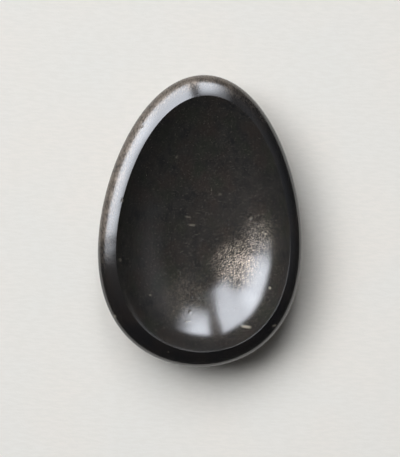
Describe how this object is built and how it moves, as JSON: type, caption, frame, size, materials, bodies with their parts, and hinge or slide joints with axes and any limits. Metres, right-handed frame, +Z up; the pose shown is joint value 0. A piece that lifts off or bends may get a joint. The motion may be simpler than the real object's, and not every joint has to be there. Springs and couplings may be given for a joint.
{
  "type": "massage stone",
  "caption": "Egg-shaped palm stone of polished black basalt, with a wide dish ground into the top for the thumb or oil and a small flat face underneath to rest on.",
  "frame": {"origin": "on the flat resting face, under the middle of the outline's bounding box", "axes": "+Y towards the narrow end, along the length; +Z up out of the dish; +X to the right when seen from above with the narrow end up"},
  "size_m": [0.0558, 0.08, 0.0148],
  "materials": {
    "polished_basalt": "polished"
  },
  "bodies": {
    "root": {"stone": "polished_basalt"}
  },
  "joints": []
}
